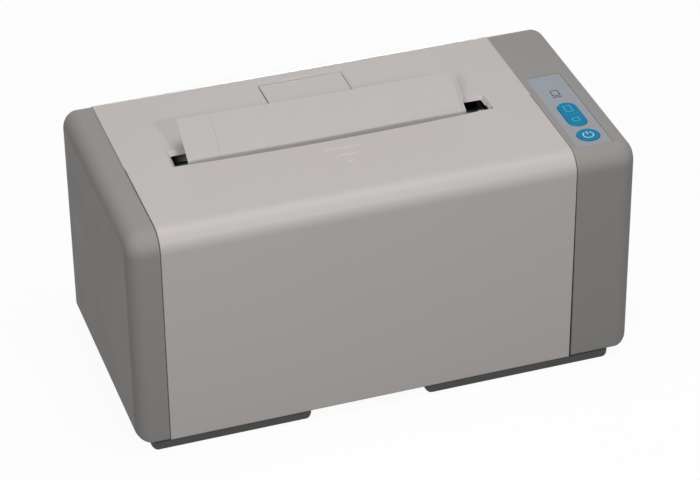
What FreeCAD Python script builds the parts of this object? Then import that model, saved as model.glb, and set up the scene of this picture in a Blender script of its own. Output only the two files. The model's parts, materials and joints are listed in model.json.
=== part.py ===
import FreeCAD, Part
import math
import os
import Sketcher
from FreeCAD import Rotation, Vector

# A countertop dispenser that wets, feeds and cuts wipes from a dry roll.
# Millimetres; X to the right, Y to the rear, Z up; the origin lies on the table
# under the middle of the case.

SIZES = {
    # The case
    "left_cap_width": 21, "right_cap_width": 42, "foot_height": 8,
    "case_wall": 2.5, "cap_step_height": 0.6, "cut_overrun_length": 5,
    "front_top_radius": 14, "rear_top_radius": 6, "rear_side_radius": 9,
    "cap_edge_radius": 10.5, "cap_bottom_radius": 8, "bottom_radius": 2.5, "cap_seam_radius": 0.5,
    "panel_edge_radius": 0.4,
    # The front cover and its hinge
    "cover_wall": 2, "cover_gap": 0.4, "seam_gap": 0.3, "cover_taper_width": 0.9,
    "cover_edge_radius": 0.6, "cover_bottom_radius": 1.2, "cover_rib_thickness": 1.5,
    "cover_rib_depth": 3.5, "cover_rib_height": 2.5, "cheek_depth": 8, "hinge_inset": 4, "knuckle_radius": 3,
    "knuckle_width": 12, "ear_width": 8, "ear_radius": 1.9, "hinge_pin_radius": 1,
    "hinge_end_gap": 5, "part_gap": 0.3, "pin_play_gap": 0.05,
    "ridge_height": 0.45, "ridge_foot_width": 1.5, "ridge_crest_width": 0.4, "ridge_spacing": 8.2,
    "ridge_front_inset": 45,
    "ridge_long_length": 26.4, "ridge_middle_length": 16, "ridge_short_length": 6,
    # The exit slot and the web of wipes, which set the width of the centre
    "web_width": 189, "web_thickness": 0.4, "web_left_gap": 10, "web_right_gap": 18.6,
    "slot_left_margin": 30, "slot_right_margin": 29.4, "slot_seam_length": 8.4, "slot_depth": 19.3,
    "slot_bevel_width": 3, "slot_corner_radius": 2.5, "slot_bow_depth": 2.9,
    "web_slot_gap": 1, "web_gap": 0.3, "sheet_low_inset": 1, "sheet_bend_height": 0.5,
    "sheet_bend_radius": 4, "sheet_lean_angle": 34, "sheet_reach_length": 28,
    # The fill lid
    "lid_middle_offset": 1, "lid_width": 57, "lid_length": 40, "lid_rear_inset": 15.6,
    "lid_thickness": 2.4, "lid_gap": 0.6, "lid_corner_radius": 2, "lid_rear_corner_radius": 0.7,
    "lid_edge_radius": 0.4,
    "lid_rim_width": 2.2, "lid_rim_depth": 0.5, "lid_rim_radius": 3.5, "lid_barrel_radius": 1.3,
    "lid_pin_radius": 0.6, "tub_wall": 1.8, "tub_gap": 0.4, "lid_pin_end_length": 1.5,
    "neck_radius": 13.7, "neck_wall": 2, "plug_radius": 10.6, "plug_depth": 5,
    "seal_thickness": 1.2,
    # The feet
    "foot_front_inset": 2.6, "foot_rear_inset": 6, "left_foot_outer_inset": 9,
    "left_foot_length": 108.8, "right_foot_outer_inset": 13.7, "right_foot_length": 130.6,
    "foot_corner_radius": 5, "foot_side_radius": 4, "foot_wall": 2.5, "foot_relief_depth": 1.6,
    "foot_relief_length": 3.2, "foot_relief_slope_length": 2.6,
    "pad_radius": 6, "pad_recess_depth": 1.2, "pad_stand_height": 0.8, "pad_inset": 14,
    # The base tray and the plates that stand on it
    "base_front_inset": 10, "base_wall": 2.5, "base_front_height": 14, "base_rib_height": 2.5,
    "base_rib_thickness": 1.6, "frame_thickness": 2.3, "frame_gap": 0.2,
    "plate_thickness": 2.5, "left_plate_gap": 6, "right_plate_gap": 1.4,
    "plate_front_inset": 19, "plate_rear_length": 33, "plate_top_gap": 12.5, "plate_foot_width": 12,
    "tie_radius": 3, "guide_bar_radius": 4, "guide_bar_depth": 18,
    # The roll of wipes, which sets the height of the case and the depth of the cover
    "roll_radius": 40, "roll_core_radius": 17, "core_wall": 1.6, "roll_end_gap": 0.5,
    "roll_front_gap": 13, "roll_floor_gap": 3.5, "roll_web_length": 23, "roll_feed_length": 24,
    "spindle_radius": 4, "hub_radius": 15.2, "hub_width": 10,
    # Feed and pinch rollers and their drive
    "feed_radius": 9, "feed_shaft_radius": 3, "feed_depth": 20, "pinch_radius": 6,
    "pinch_shaft_radius": 2, "roller_end_gap": 3, "arm_thickness": 2, "arm_width": 8,
    "arm_length": 16.5, "arm_rise_height": 6, "arm_pivot_radius": 2.5, "arm_gap": 0.5,
    "gear_module_size": 1, "gear_width": 6, "gear_backlash_gap": 0.12, "gear_gap": 1.5,
    "feed_gear_teeth": 30, "pinion_teeth": 12, "cutter_gear_teeth": 24,
    "feed_motor_radius": 12, "feed_motor_length": 34, "motor_shaft_radius": 1.5,
    "motor_boss_radius": 5, "motor_boss_height": 3,
    "cutter_motor_radius": 8, "cutter_motor_length": 11,
    # The cutter and the exit guide
    "cutter_depth": 26.5, "cutter_tip_radius": 6.6, "cutter_drum_radius": 4.4, "cutter_shaft_radius": 2.5,
    "blade_thickness": 1.2, "blade_gap": 0.15, "blade_depth": 14, "blade_overlap_depth": 0.3,
    "beam_height": 5, "beam_inset": 5, "guide_gap": 0.7, "guide_thickness": 1.4, "guide_top_gap": 4.6,
    "guide_low_height": 8, "screw_head_radius": 2.8, "screw_head_height": 1.6, "screw_edge_gap": 1.68,
    # Water
    "tank_depth": 49.4, "tank_left_inset": 39, "tank_front_gap": 6, "tank_rear_gap": 0.6,
    "tank_wall": 2, "tank_top_gap": 16, "tank_pump_gap": 8,
    "pump_right_inset": 45, "pump_motor_radius": 11, "pump_motor_height": 30,
    "pump_head_width": 28, "pump_head_height": 16, "pump_port_length": 6, "hose_radius": 3.4,
    "hose_bore_radius": 2, "hose_bend_radius": 12, "port_bore_radius": 1.1,
    "bar_radius": 2.8, "bar_bore_radius": 1.6, "bar_depth": 6.8, "bar_web_gap": 9.4,
    "nozzle_radius": 0.9, "nozzle_length": 2.2, "nozzle_spacing": 16,
    # Controls on the right cap
    "panel_right_inset": 13.4, "panel_width": 23.9, "panel_front_inset": 11.5, "panel_length": 92.4,
    "panel_thickness": 0.5, "panel_corner_radius": 1.2, "panel_drop_height": 0.25, "panel_gap": 0.15,
    "key_gap": 0.25, "key_stand_height": 0.1, "key_edge_radius": 0.25,
    "key_flange_width": 1, "key_flange_height": 1.2, "key_travel_height": 0.8,
    "length_key_width": 13, "length_key_length": 30.5, "length_key_inset": 51.6,
    "power_key_radius": 7.6, "power_key_inset": 24.2, "key_board_thickness": 1.6,
    "switch_width": 6, "switch_height": 3.5, "stem_radius": 1.6, "stem_height": 0.7,
    "lens_radius": 1.6, "lens_inset": 79, "post_radius": 2.5, "chip_width": 12,
    "board_thickness": 1.6, "board_length": 96, "board_height": 60, "board_floor_gap": 18,
    "board_stand_height": 5, "inlet_height": 22, "inlet_right_inset": 22, "inlet_width": 11,
    "inlet_depth": 12, "inlet_bore_radius": 3.2, "inlet_pin_radius": 1,
    "magnet_width": 12, "magnet_depth": 5, "magnet_height": 4,
}

doc = FreeCAD.newDocument("WipesDispenser")
sheet = doc.addObject("Spreadsheet::Sheet", "Sizes")
for row, (name, value) in enumerate(SIZES.items(), 1):
    sheet.set(f"A{row}", name)
    sheet.set(f"B{row}", str(value))
    sheet.setAlias(f"B{row}", name)
doc.recompute()


class Size:
    """A length made from the sheet's cells: the formula in words and its present value."""

    def __init__(self, text, value):
        self.text = text
        self.value = value

    def _with(self, sign, other, result):
        return Size(f"({self.text} {sign} {words(other)})", result)

    def __add__(self, other):
        return self._with("+", other, self.value + number(other))

    def __sub__(self, other):
        return self._with("-", other, self.value - number(other))

    def __mul__(self, other):
        return self._with("*", other, self.value * number(other))

    def __truediv__(self, other):
        return self._with("/", other, self.value / number(other))

    def __neg__(self):
        return Size(f"(0 - {self.text})", -self.value)


def words(size):
    return size.text if isinstance(size, Size) else str(size)


def number(size):
    return size.value if isinstance(size, Size) else size


class Named:
    """Every driving dimension by its name."""


s = Named()
for name in SIZES:
    setattr(s, name, Size(f"Sizes.{name}", float(sheet.get(name))))

made = []


def add(kind, name):
    return doc.addObject(kind, name)


def bind(thing, prop, size):
    if isinstance(size, Size):
        thing.setExpression(prop, size.text)
    else:
        setattr(thing, prop, size)


def place(thing, x, y, z):
    for letter, size in zip("xyz", (x, y, z)):
        if isinstance(size, Size):
            thing.setExpression(f"Placement.Base.{letter}", size.text)


def block(x, y, z):
    """A box between two places along each axis."""
    box = add("Part::Box", "Block")
    for prop, (low, high) in zip(("Length", "Width", "Height"), (x, y, z)):
        bind(box, prop, high - low)
    place(box, x[0], y[0], z[0])
    return box


TURNS = {"X": Rotation(Vector(0, 1, 0), 90), "Y": Rotation(Vector(1, 0, 0), -90), "Z": Rotation()}


def rod(axis, centre, span, radius):
    """A round bar along an axis; centre gives its other two places in X, Y, Z order."""
    bar = add("Part::Cylinder", "Rod")
    bar.Placement.Rotation = TURNS[axis]
    bind(bar, "Radius", radius)
    bind(bar, "Height", span[1] - span[0])
    spots = list(centre)
    spots.insert("XYZ".index(axis), span[0])
    place(bar, *spots)
    return bar


def join(*pieces):
    if len(pieces) == 1:
        return pieces[0]
    fused = add("Part::MultiFuse", "Join")
    fused.Shapes = list(pieces)
    return fused


def cut(base, *tools):
    left = add("Part::Cut", "Cut")
    left.Base = base
    left.Tool = join(*tools)
    return left


def shared(*pieces):
    """What the pieces have in common."""
    common = add("Part::MultiCommon", "Shared")
    common.Shapes = list(pieces)
    return common


def rounded(base, pick):
    """Round the edges for which pick gives a radius."""
    doc.recompute()
    soft = add("Part::Fillet", "Rounded")
    soft.Base = base
    chosen = []
    for index, edge in enumerate(base.Shape.Edges, 1):
        radius = pick(edge.CenterOfMass, edge)
        if radius:
            chosen.append((index, number(radius), number(radius)))
    soft.Edges = chosen
    return soft


def near(a, b):
    return abs(a - number(b)) < 0.01


def keep(label, thing):
    """Name a finished sub-part."""
    thing.Label = label
    made.append(thing)
    return thing


PLANES = {"X": "YZ_Plane", "Y": "XZ_Plane", "Z": "XY_Plane"}


def sketch_on(body, axis, shift, points):
    plane = next(p for p in body.Origin.OriginFeatures if p.Role == PLANES[axis])
    sketch = body.newObject("Sketcher::SketchObject", "Outline")
    sketch.AttachmentSupport = [(plane, "")]
    sketch.MapMode = "FlatFace"
    if isinstance(shift, Size):
        sketch.setExpression("AttachmentOffset.Base.z", shift.text)
    count = len(points)
    spots = [Vector(number(u), number(v), 0) for u, v in points]
    for index in range(count):
        sketch.addGeometry(Part.LineSegment(spots[index], spots[(index + 1) % count]), False)
    for index in range(count):
        sketch.addConstraint(Sketcher.Constraint("Coincident", index, 2, (index + 1) % count, 1))
    for index, point in enumerate(points):
        for kind, size in zip(("DistanceX", "DistanceY"), point):
            which = sketch.addConstraint(Sketcher.Constraint(kind, index, 1, number(size)))
            sketch.setExpression(f"Constraints[{which}]", words(size))
    return sketch


def slab(axis, span, points):
    """A straight-sided outline padded along an axis between two places."""
    body = add("PartDesign::Body", "Slab")
    low, high = span
    sketch = sketch_on(body, axis, -high if axis == "Y" else low, points)
    pad = body.newObject("PartDesign::Pad", "Pad")
    pad.Profile = sketch
    bind(pad, "Length", high - low)
    return body


def turned(axis, centre, points):
    """A turned piece along X or Z: points are (place along the axis, radius)."""
    body = add("PartDesign::Body", "Turned")
    if axis == "Z":
        outline = [(radius, along) for along, radius in points]
        sketch = sketch_on(body, "Y", None, outline)
    else:
        sketch = sketch_on(body, "Y", None, points)
    spin = body.newObject("PartDesign::Revolution", "Revolution")
    spin.Profile = sketch
    spin.ReferenceAxis = (sketch, ["V_Axis" if axis == "Z" else "H_Axis"])
    spin.Angle = 360
    spots = {"X": (None, centre[0], centre[1]), "Z": (centre[0], centre[1], None)}[axis]
    place(body, *spots)
    return body


def shape(name, solid):
    feature = add("Part::Feature", name)
    feature.Shape = solid
    return feature


# Places that several pieces share
slot_width = s.web_left_gap + s.web_width + s.web_right_gap
centre_width = s.slot_left_margin + slot_width + s.slot_right_margin
width = centre_width + s.left_cap_width + s.right_cap_width
left = -(width / 2)
right = width / 2
case_depth = (s.roll_front_gap + s.roll_radius + s.roll_web_length + s.plate_rear_length + s.tank_front_gap
              + s.tank_depth + s.tank_rear_gap + s.base_wall + s.case_wall)
front = -(case_depth / 2)
rear = case_depth / 2
under = s.foot_height
base_top = under + s.base_wall
roll_y = front + s.roll_front_gap + s.roll_radius
roll_z = base_top + s.roll_floor_gap + s.roll_radius
feed_z = roll_z + s.roll_radius + s.roll_feed_length
cutter_z = feed_z + s.feed_depth
top = cutter_z + s.cutter_depth
over = s.cut_overrun_length
wall = s.case_wall
seam_left = left + s.left_cap_width
seam_right = right - s.right_cap_width
middle = (seam_left + seam_right) / 2
cap_top = top - s.cap_step_height
web_y = roll_y + s.roll_web_length
slot_front = web_y - s.web_slot_gap
slot_rear = slot_front + s.slot_depth
seam = slot_front + s.slot_seam_length
cover_left = seam_left + s.cover_gap
cover_right = seam_right - s.cover_gap
hinge_y = front + s.hinge_inset
hinge_z = under + s.hinge_inset
slot_left = seam_left + s.slot_left_margin
slot_right = slot_left + slot_width
web_left = slot_left + s.web_left_gap
web_right = web_left + s.web_width
plate_left = slot_left - s.left_plate_gap
plate_right = slot_right + s.right_plate_gap
plate_rear = web_y + s.plate_rear_length
frame_left = seam_left - s.frame_gap
frame_right = seam_right + s.frame_gap
base_front = front + s.base_front_inset
tray_rear = rear - wall
guide_bar_z = feed_z - s.guide_bar_depth
lid_middle = middle + s.lid_middle_offset
lid_rear = rear - s.lid_rear_inset
lid_front = lid_rear - s.lid_length
lid_left = lid_middle - s.lid_width / 2
lid_right = lid_middle + s.lid_width / 2
lid_axis_y = lid_rear - s.lid_barrel_radius
lid_axis_z = top - s.lid_barrel_radius
tub_floor = top - s.lid_thickness - s.tub_gap


# End caps
def end_cap(far, mouth):
    """A moulded cap: far is its closed outer face, mouth its open face at the centre section."""
    side = 1 if number(far) < number(mouth) else -1

    def corners(inset):
        """The radius of each edge of the cap's outside, or of its inside for a wall's inset."""
        def pick(spot, edge):
            at_far = near(spot.x, far + inset * side)
            at_top = near(spot.z, cap_top - inset)
            at_front = near(spot.y, front + inset)
            at_rear = near(spot.y, rear - inset)
            if at_far and (at_top or at_front):
                return s.cap_edge_radius - inset
            if at_far:
                return (s.rear_side_radius if at_rear else s.cap_bottom_radius) - inset
            if at_top and (at_front or at_rear):
                return (s.front_top_radius if at_front else s.rear_top_radius) - inset
            if number(inset):
                return None
            return s.cap_seam_radius if near(spot.x, mouth) else s.bottom_radius
        return pick

    outside_x = (far, mouth)
    inside_x = (far + wall * side, mouth + over * side)
    if side < 0:
        outside_x, inside_x = outside_x[::-1], inside_x[::-1]
    outside = rounded(block(outside_x, (front, rear), (under, cap_top)), corners(wall * 0))
    inside = rounded(block(inside_x, (front + wall, rear - wall), (under + wall, cap_top - wall)),
                     corners(wall))
    return cut(outside, inside)


keep("left_end_cap", end_cap(left, seam_left))

panel_right = right - s.panel_right_inset
panel_left = panel_right - s.panel_width
panel_middle = (panel_left + panel_right) / 2
panel_front = front + s.panel_front_inset
panel_rear = panel_front + s.panel_length
key_y = front + s.length_key_inset
key_half = s.length_key_width / 2
key_end = (s.length_key_length - s.length_key_width) / 2
power_y = front + s.power_key_inset
lens_y = front + s.lens_inset


def pill(z, grow):
    """The long key's outline, grown all round, between two heights."""
    radius = key_half + grow
    ends = [rod("Z", (panel_middle, key_y + step), z, radius) for step in (key_end, -key_end)]
    bar = block((panel_middle - radius, panel_middle + radius),
                (key_y - key_end, key_y + key_end), z)
    return join(bar, *ends)


def disc(z, grow):
    return rod("Z", (panel_middle, power_y), z, s.power_key_radius + grow)


panel_top = cap_top - s.panel_drop_height
panel_z = (panel_top - s.panel_thickness, panel_top)
panel_recess = rounded(
    block((panel_left - s.panel_gap, panel_right + s.panel_gap),
          (panel_front - s.panel_gap, panel_rear + s.panel_gap), (panel_z[0], cap_top + over)),
    lambda spot, edge: s.panel_corner_radius if edge.BoundBox.ZLength > number(over) else None)
through = (cap_top - s.case_wall - over, cap_top + over)
right_cap = cut(end_cap(right, seam_right),
                panel_recess, pill(through, s.key_gap), disc(through, s.key_gap),
                rod("Z", (panel_middle, lens_y), through, s.lens_radius + s.key_gap))
keep("right_end_cap", right_cap)


def flare(x, y, z, grow, front_grow):
    """A block that widens upwards at its sides and rear by grow, and at its front by front_grow."""
    wedge = add("Part::Wedge", "Flare")
    wedge.Placement.Rotation = Rotation(Vector(1, 0, 0), 90)
    for prop, size in {
        "Xmin": x[0], "Xmax": x[1], "X2min": x[0] - grow, "X2max": x[1] + grow, "Ymin": z[0], "Ymax": z[1],
        "Zmin": -y[1], "Z2min": -(y[1] + grow), "Zmax": -y[0], "Z2max": -(y[0] - front_grow),
    }.items():
        bind(wedge, prop, size)
    return wedge


def slot_tools(rear_run):
    """The throat of the exit slot and the bevel that opens it upwards."""
    low_x = (slot_left + s.slot_bevel_width, slot_right - s.slot_bevel_width)
    low_rear = slot_rear - s.slot_bevel_width
    throat = block(low_x, (slot_front, low_rear + rear_run), (top - over * 4, top + over))
    bevel = flare(low_x, (slot_front, low_rear), (top - s.slot_bevel_width, top + over),
                  s.slot_bevel_width + over, wall * 0)

    def rear_corner(spot, edge):
        slanted = edge.BoundBox.ZLength > number(s.slot_bevel_width)
        return s.slot_corner_radius if slanted and spot.y > number(slot_rear) else None

    return throat, rounded(bevel, rear_corner)


def shell_edge(spot, edge):
    at_rear = near(spot.y, rear)
    at_top = near(spot.z, top)
    at_side = near(spot.x, seam_left) or near(spot.x, seam_right)
    if at_rear and at_top:
        return s.rear_top_radius
    if at_rear and near(spot.z, under):
        return s.bottom_radius
    return s.panel_edge_radius if at_top or (at_rear and at_side) else None


def shell_hollow_edge(spot, edge):
    inner = near(spot.y, rear - wall) and near(spot.z, top - wall)
    return s.rear_top_radius - wall if inner else None


panel_start = seam + s.seam_gap
rear_shell = rounded(block((seam_left, seam_right), (panel_start, rear), (under, top)), shell_edge)
rear_hollow = rounded(block((seam_left - over, seam_right + over), (panel_start - over, rear - wall),
                            (under - over, top - wall)), shell_hollow_edge)
tub_x = (lid_left - s.lid_gap - s.tub_wall, lid_right + s.lid_gap + s.tub_wall)
tub_y = (lid_front - s.lid_gap - s.tub_wall, lid_rear + s.lid_gap + s.tub_wall)
tub = block(tub_x, tub_y, (tub_floor - s.tub_wall, top - wall))


def lid_corner(spot):
    """The lid's corners are sharper at the rear, where its barrel turns in the well."""
    return s.lid_rear_corner_radius if spot.y > number(lid_axis_y) else s.lid_corner_radius


well_x = (lid_left - s.lid_gap, lid_right + s.lid_gap)
well_y = (lid_front - s.lid_gap, lid_rear + s.lid_gap)
lid_well = rounded(
    block(well_x, well_y, (tub_floor, top + over)),
    lambda spot, edge: lid_corner(spot) + s.lid_gap if edge.BoundBox.ZLength > number(over) else None)
rim_grow = s.lid_rim_width / s.lid_rim_depth * (s.lid_rim_depth + wall)
lid_rim = rounded(
    flare(well_x, well_y, (top - s.lid_rim_depth, top + wall), rim_grow, rim_grow),
    lambda spot, edge: s.lid_rim_radius if edge.BoundBox.ZLength > number(s.lid_rim_depth) else None)
neck_x = lid_middle
neck_y = (lid_front + lid_rear) / 2
neck_hole = rod("Z", (neck_x, neck_y), (tub_floor - s.tub_wall - over, tub_floor + over),
                s.neck_radius + s.part_gap)
lid_pin_span = (lid_left - s.lid_gap - s.lid_pin_end_length, lid_right + s.lid_gap + s.lid_pin_end_length)
pin_hole = rod("X", (lid_axis_y, lid_axis_z), lid_pin_span, s.lid_pin_radius)
inlet_x = seam_right - s.inlet_right_inset
inlet_half = s.inlet_width / 2
inlet_hole = block((inlet_x - inlet_half, inlet_x + inlet_half), (rear - wall - over, rear + over),
                   (under + s.inlet_height - inlet_half, under + s.inlet_height + inlet_half))
keep("rear_panel", cut(join(cut(rear_shell, rear_hollow), tub),
                       lid_well, lid_rim, neck_hole, pin_hole, inlet_hole, *slot_tools(wall * 0)))

# Places of the cover's inner ribs, across its width and up its height
RIB_SHARES = (0.16, 0.33, 0.5, 0.67, 0.84)
CROSS_RIB_SHARES = (0.3, 0.65)
cover_hollow_top = s.front_top_radius - s.cover_wall


def cover_edges(spot, edge):
    front_edge = near(spot.y, front)
    if front_edge and near(spot.z, top):
        return s.front_top_radius
    if front_edge and near(spot.z, under):
        return s.cover_bottom_radius
    side = near(spot.x, cover_left) or spot.x > number(cover_right - s.cover_taper_width)
    if side and (front_edge or near(spot.z, top)):
        return s.cover_edge_radius
    return None


def hollow_edge(spot, edge):
    inner = near(spot.y, front + s.cover_wall) and near(spot.z, top - s.cover_wall)
    return cover_hollow_top if inner else None


cover_shell = rounded(slab("Y", (front, seam), [
    (cover_left, under), (cover_right - s.cover_taper_width, under), (cover_right, top),
    (cover_left, top)]), cover_edges)
cover_hollow = rounded(
    block((cover_left + s.cover_wall, cover_right - s.cover_wall), (front + s.cover_wall, seam + over),
          (under - over, top - s.cover_wall)), hollow_edge)
cheek_window = block((cover_left - over, cover_right + over), (front + s.cheek_depth, seam + over),
                     (under - over, top - s.cheek_depth))
knuckle_spots = []
for side, start in ((1, cover_left + s.hinge_end_gap), (-1, cover_right - s.hinge_end_gap)):
    reach = s.knuckle_width + s.ear_width + s.part_gap * 2
    for first in (start, start + reach * side):
        end = first + s.knuckle_width * side
        knuckle_spots.append((first, end) if side > 0 else (end, first))
knuckles = [rod("X", (hinge_y, hinge_z), span, s.knuckle_radius) for span in knuckle_spots]
knuckles += [block(span, (front + s.cover_wall / 2, hinge_y), (under + s.bottom_radius, hinge_z))
             for span in knuckle_spots]
knuckle_bores = rod("X", (hinge_y, hinge_z), (cover_left - over, cover_right + over),
                    s.hinge_pin_radius + s.pin_play_gap)
rib_y = (front + s.cover_wall / 2, front + s.cover_wall + s.cover_rib_depth)
rib_x = (cover_left + s.cover_wall / 2, cover_right - s.cover_wall / 2)
rib_z = (hinge_z + s.knuckle_radius * 2, top - s.front_top_radius)
cover_ribs = []
for share in RIB_SHARES:
    spot = rib_x[0] + (rib_x[1] - rib_x[0]) * share
    cover_ribs.append(block((spot, spot + s.cover_rib_thickness), rib_y, rib_z))
for share in CROSS_RIB_SHARES:
    spot = rib_z[0] + (rib_z[1] - rib_z[0]) * share
    cover_ribs.append(block(rib_x, (rib_y[0], front + s.cover_wall + s.cover_rib_height),
                            (spot, spot + s.cover_rib_thickness)))
ridges = []
for index, length in enumerate((s.ridge_short_length, s.ridge_middle_length, s.ridge_long_length)):
    ridge_y = front + s.ridge_front_inset + s.ridge_spacing * index
    foot_half = s.ridge_foot_width / 2
    crest_half = s.ridge_crest_width / 2
    ridge_low = top - s.cover_wall / 2
    crest = top + s.ridge_height
    ridges.append(slab("X", (middle - length / 2, middle + length / 2), [
        (ridge_y - foot_half, ridge_low), (ridge_y + foot_half, ridge_low), (ridge_y + foot_half, top),
        (ridge_y + crest_half, crest), (ridge_y - crest_half, crest), (ridge_y - foot_half, top)]))

# The front edge of the slot bows forward in a shallow arc
bow_half = slot_width / 2 - s.slot_bevel_width
bow_radius = bow_half * bow_half / (s.slot_bow_depth * 2) + s.slot_bow_depth / 2
bow_front = slot_front - s.slot_bow_depth
bow_z = (top - over, top + over)
slot_bow = shared(block((slot_left, slot_right), (bow_front, slot_front + s.slot_bow_depth), bow_z),
                  rod("Z", ((slot_left + slot_right) / 2, bow_front + bow_radius), bow_z, bow_radius))
cover = cut(join(cut(cover_shell, cover_hollow, cheek_window), *cover_ribs, *knuckles),
            knuckle_bores, slot_bow, *slot_tools(case_depth))
keep("front_cover", join(cover, *ridges))

# The fill lid
lid_under = top - s.lid_thickness
lid_barrel_low = lid_axis_z - s.lid_barrel_radius * 2


def lid_edge(spot, edge):
    if near(spot.z, top):
        return s.lid_edge_radius
    return lid_corner(spot) if near(edge.BoundBox.ZLength, top - lid_barrel_low) else None


lid_outline = rounded(block((lid_left, lid_right), (lid_front, lid_rear), (lid_barrel_low, top)), lid_edge)
lid_plate = shared(lid_outline, join(
    block((lid_left, lid_right), (lid_front, lid_axis_y), (lid_under, top)),
    rod("X", (lid_axis_y, lid_axis_z), (lid_left, lid_right), s.lid_barrel_radius)))
plug = cut(rod("Z", (neck_x, neck_y), (lid_under - s.plug_depth, lid_under), s.plug_radius),
           rod("Z", (neck_x, neck_y), (lid_under - s.plug_depth - over, lid_under),
               s.plug_radius - s.tub_wall))
keep("fill_lid", cut(join(lid_plate, plug),
                     rod("X", (lid_axis_y, lid_axis_z), (lid_left - over, lid_right + over),
                         s.lid_pin_radius + s.pin_play_gap)))
keep("lid_hinge_pin", rod("X", (lid_axis_y, lid_axis_z), lid_pin_span, s.lid_pin_radius))
keep("lid_seal", cut(rod("Z", (neck_x, neck_y), (lid_under - s.seal_thickness, lid_under),
                         s.neck_radius - s.part_gap),
                     rod("Z", (neck_x, neck_y), (lid_under - s.plug_depth, lid_under + over),
                         s.plug_radius)))


# Feet with their rubber pads
foot_front = front + s.foot_front_inset
foot_rear = rear - s.foot_rear_inset
pad_spots = []


def foot(label, x):
    low, high = x

    def corner(spot, edge):
        lower = near(spot.z, s.pad_stand_height)
        if lower and (near(spot.x, low) or near(spot.x, high)):
            return s.foot_corner_radius
        upright = near(edge.BoundBox.ZLength, s.foot_height - s.pad_stand_height)
        return s.foot_side_radius if upright else None

    plate = rounded(block(x, (foot_front, foot_rear), (s.pad_stand_height, under)), corner)
    relief_end = foot_front + s.foot_relief_length
    relief = slab("X", (low - over, high + over), [
        (foot_front - over, under - s.foot_relief_depth), (relief_end, under - s.foot_relief_depth),
        (relief_end + s.foot_relief_slope_length, under),
        (relief_end + s.foot_relief_slope_length, under + over), (foot_front - over, under + over)])
    hollow = block((low + s.foot_corner_radius + s.foot_wall, high - s.foot_corner_radius - s.foot_wall),
                   (foot_front + s.pad_inset * 2, foot_rear - s.pad_inset * 2),
                   (-over, under - s.foot_wall))
    spots = [(x_pad, y_pad) for x_pad in (low + s.pad_inset, high - s.pad_inset)
             for y_pad in (foot_front + s.pad_inset, foot_rear - s.pad_inset)]
    pad_spots.extend(spots)
    seats = [rod("Z", spot, (-over, s.pad_stand_height + s.pad_recess_depth), s.pad_radius + s.pin_play_gap)
             for spot in spots]
    keep(label, cut(plate, relief, hollow, *seats))


left_foot_x = left + s.left_foot_outer_inset
right_foot_x = right - s.right_foot_outer_inset
foot("left_foot", (left_foot_x, left_foot_x + s.left_foot_length))
foot("right_foot", (right_foot_x - s.right_foot_length, right_foot_x))
zero = under * 0
keep("foot_pads", join(*[rod("Z", spot, (zero, s.pad_stand_height + s.pad_recess_depth), s.pad_radius)
                         for spot in pad_spots]))


# Base tray with the ears of the cover's hinge
tray = cut(block((seam_left, seam_right), (base_front, tray_rear), (under, under + s.base_front_height)),
           block((seam_left + s.base_wall, seam_right - s.base_wall),
                 (base_front + s.base_wall, tray_rear - s.base_wall), (base_top, top)))
ear_spans = []
for side, start in ((1, cover_left + s.hinge_end_gap), (-1, cover_right - s.hinge_end_gap)):
    first = start + (s.knuckle_width + s.part_gap) * side
    last = first + s.ear_width * side
    ear_spans.append((first, last) if side > 0 else (last, first))
ears = []
for span in ear_spans:
    ears.append(rod("X", (hinge_y, hinge_z), span, s.ear_radius))
    ears.append(block(span, (hinge_y, base_front + s.base_wall / 2),
                      (hinge_z - s.ear_radius, hinge_z + s.ear_radius)))
ear_bore = rod("X", (hinge_y, hinge_z), (seam_left - over, seam_right + over), s.hinge_pin_radius)
ribs = [block((x_rib, x_rib + s.base_rib_thickness), (base_front + s.base_wall / 2, plate_rear),
              (under + s.base_wall / 2, base_top + s.base_rib_height))
        for x_rib in (middle - centre_width / 6, middle, middle + centre_width / 6)]
keep("base_tray", cut(join(tray, *ears, *ribs), ear_bore))
pins = []
for span, side in zip(ear_spans, (1, -1)):
    reach = s.knuckle_width + s.part_gap
    pins.append(rod("X", (hinge_y, hinge_z), (span[0] - reach, span[1] + reach), s.hinge_pin_radius))
keep("cover_hinge_pins", join(*pins))


# Side frames that close the mouths of the caps
def side_frame(x):
    inset = wall + s.part_gap

    def corner(spot, edge):
        if near(spot.z, cap_top - inset) and near(spot.y, front + inset):
            return s.front_top_radius - inset
        if near(spot.z, cap_top - inset) and near(spot.y, rear - inset):
            return s.rear_top_radius - inset
        return None

    return rounded(block(x, (front + inset, rear - inset), (under + inset, cap_top - inset)), corner)


feed_y = web_y + s.web_thickness / 2 + s.web_gap + s.feed_radius
pinch_y = web_y - s.web_thickness / 2 - s.web_gap - s.pinch_radius
arm_pivot_y = pinch_y - s.arm_length
arm_pivot_z = feed_z + s.arm_rise_height
cutter_y = web_y + s.blade_overlap_depth - s.cutter_tip_radius
guide_y = web_y + s.web_thickness / 2 + s.web_gap + s.guide_bar_radius
feed_far = (s.feed_gear_teeth + s.pinion_teeth) * s.gear_module_size / 2
cutter_far = (s.cutter_gear_teeth + s.pinion_teeth) * s.gear_module_size / 2
FEED_MESH = -35
CUTTER_MESH = 0
feed_pinion_y = feed_y + feed_far * math.cos(math.radians(FEED_MESH))
feed_pinion_z = feed_z + feed_far * math.sin(math.radians(FEED_MESH))
cutter_pinion_y = cutter_y + cutter_far
cutter_pinion_z = cutter_z

left_frame_x = (frame_left - s.frame_thickness, frame_left)
right_frame_x = (frame_right, frame_right + s.frame_thickness)
keep("left_side_frame", side_frame(left_frame_x))
keep("right_side_frame", cut(side_frame(right_frame_x),
                             rod("X", (feed_pinion_y, feed_pinion_z),
                                 (frame_right - over, frame_right + over * 2), s.motor_boss_radius)))

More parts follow.
